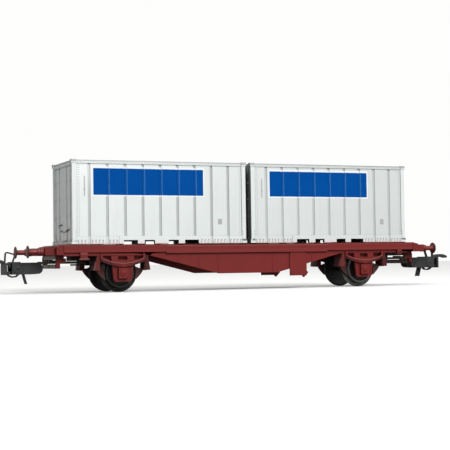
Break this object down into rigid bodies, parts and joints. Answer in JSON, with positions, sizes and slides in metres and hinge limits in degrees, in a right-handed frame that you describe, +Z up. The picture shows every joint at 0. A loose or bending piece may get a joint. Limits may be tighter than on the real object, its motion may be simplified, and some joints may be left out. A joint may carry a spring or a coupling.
{
  "type": "model flatcar with containers",
  "caption": "Model two-axle flat wagon carrying two 20-foot containers, with buffers, swinging couplers and turning wheelsets.",
  "frame": {"origin": "midway between the axles, on the level under the wheel flanges", "axes": "+X along the wagon towards end 2, +Y to side b, +Z up"},
  "size_m": [0.1972, 0.0294, 0.049],
  "materials": {
    "frame_red": "satin oxide red",
    "container_silver": "silver paint",
    "wheel_dark": "blackened",
    "axle_steel": "plain",
    "coupler_black": "satin",
    "ballast_steel": "plain"
  },
  "bodies": {
    "frame": {"side_sill_a": "frame_red", "side_sill_b": "frame_red", "deck_plate": "frame_red", "ballast_plate": "ballast_steel", "cross_bearers": "frame_red", "centre_sill": "frame_red", "headstock_1": "frame_red", "headstock_2": "frame_red", "buffers_1": "frame_red", "buffers_2": "frame_red", "coupler_stirrup_1": "frame_red", "coupler_stirrup_2": "frame_red", "axle_guards_1": "frame_red", "axle_guards_2": "frame_red", "wheel_plates_1": "frame_red", "wheel_plates_2": "frame_red", "leaf_springs_1": "frame_red", "leaf_springs_2": "frame_red", "axle_boxes_1": "frame_red", "axle_boxes_2": "frame_red", "brake_hangers_1": "frame_red", "brake_hangers_2": "frame_red", "brake_shoes_1": "frame_red", "brake_shoes_2": "frame_red", "brake_plate_a": "frame_red", "brake_plate_b": "frame_red", "sill_brackets_a": "frame_red", "sill_brackets_b": "frame_red", "drawbar_post_1": "frame_red", "drawbar_post_2": "frame_red", "container_pins": "frame_red"},
    "wheelset_1": {"axle_1": "axle_steel", "wheels_1": "wheel_dark"},
    "wheelset_2": {"axle_2": "axle_steel", "wheels_2": "wheel_dark"},
    "drawbar_1": {"coupler_bar_1": "coupler_black"},
    "drawbar_2": {"coupler_bar_2": "coupler_black"},
    "coupler_1": {"coupler_head_1": "coupler_black", "coupler_strips_1": "coupler_black", "coupler_blade_1": "coupler_black"},
    "coupler_2": {"coupler_head_2": "coupler_black", "coupler_strips_2": "coupler_black", "coupler_blade_2": "coupler_black"},
    "container_1": {"container_1_floor": "container_silver", "container_1_side_a": "container_silver", "container_1_side_b": "container_silver", "container_1_roof": "container_silver", "container_1_door_end": "container_silver", "container_1_front_end": "container_silver"},
    "container_2": {"container_2_floor": "container_silver", "container_2_side_a": "container_silver", "container_2_side_b": "container_silver", "container_2_roof": "container_silver", "container_2_door_end": "container_silver", "container_2_front_end": "container_silver"}
  },
  "joints": [
    {"name": "wheelset_1_spin", "type": "hinge", "parent": "frame", "child": "wheelset_1", "pos_m": [-0.051, 0, 0.0072], "axis": [0, 1, 0], "continuous": true},
    {"name": "wheelset_2_spin", "type": "hinge", "parent": "frame", "child": "wheelset_2", "pos_m": [0.051, 0, 0.0072], "axis": [0, 1, 0], "continuous": true},
    {"name": "drawbar_1_swing", "type": "hinge", "parent": "frame", "child": "drawbar_1", "pos_m": [-0.063, 0, 0.01129], "axis": [0, 0, 1], "range_deg": [-12, 12]},
    {"name": "drawbar_2_swing", "type": "hinge", "parent": "frame", "child": "drawbar_2", "pos_m": [0.063, 0, 0.01129], "axis": [0, 0, 1], "range_deg": [-12, 12]},
    {"name": "coupler_1_lift", "type": "hinge", "parent": "drawbar_1", "child": "coupler_1", "pos_m": [-0.0806, 0, 0.00904], "axis": [0, 1, 0], "range_deg": [0, 8]},
    {"name": "coupler_2_lift", "type": "hinge", "parent": "drawbar_2", "child": "coupler_2", "pos_m": [0.0806, 0, 0.00904], "axis": [0, -1, 0], "range_deg": [0, 8]},
    {"name": "container_1_lift", "type": "slide", "parent": "frame", "child": "container_1", "axis": [0, 0, 1], "range_m": [0, 0.03]},
    {"name": "container_2_lift", "type": "slide", "parent": "frame", "child": "container_2", "axis": [0, 0, 1], "range_m": [0, 0.03]}
  ]
}
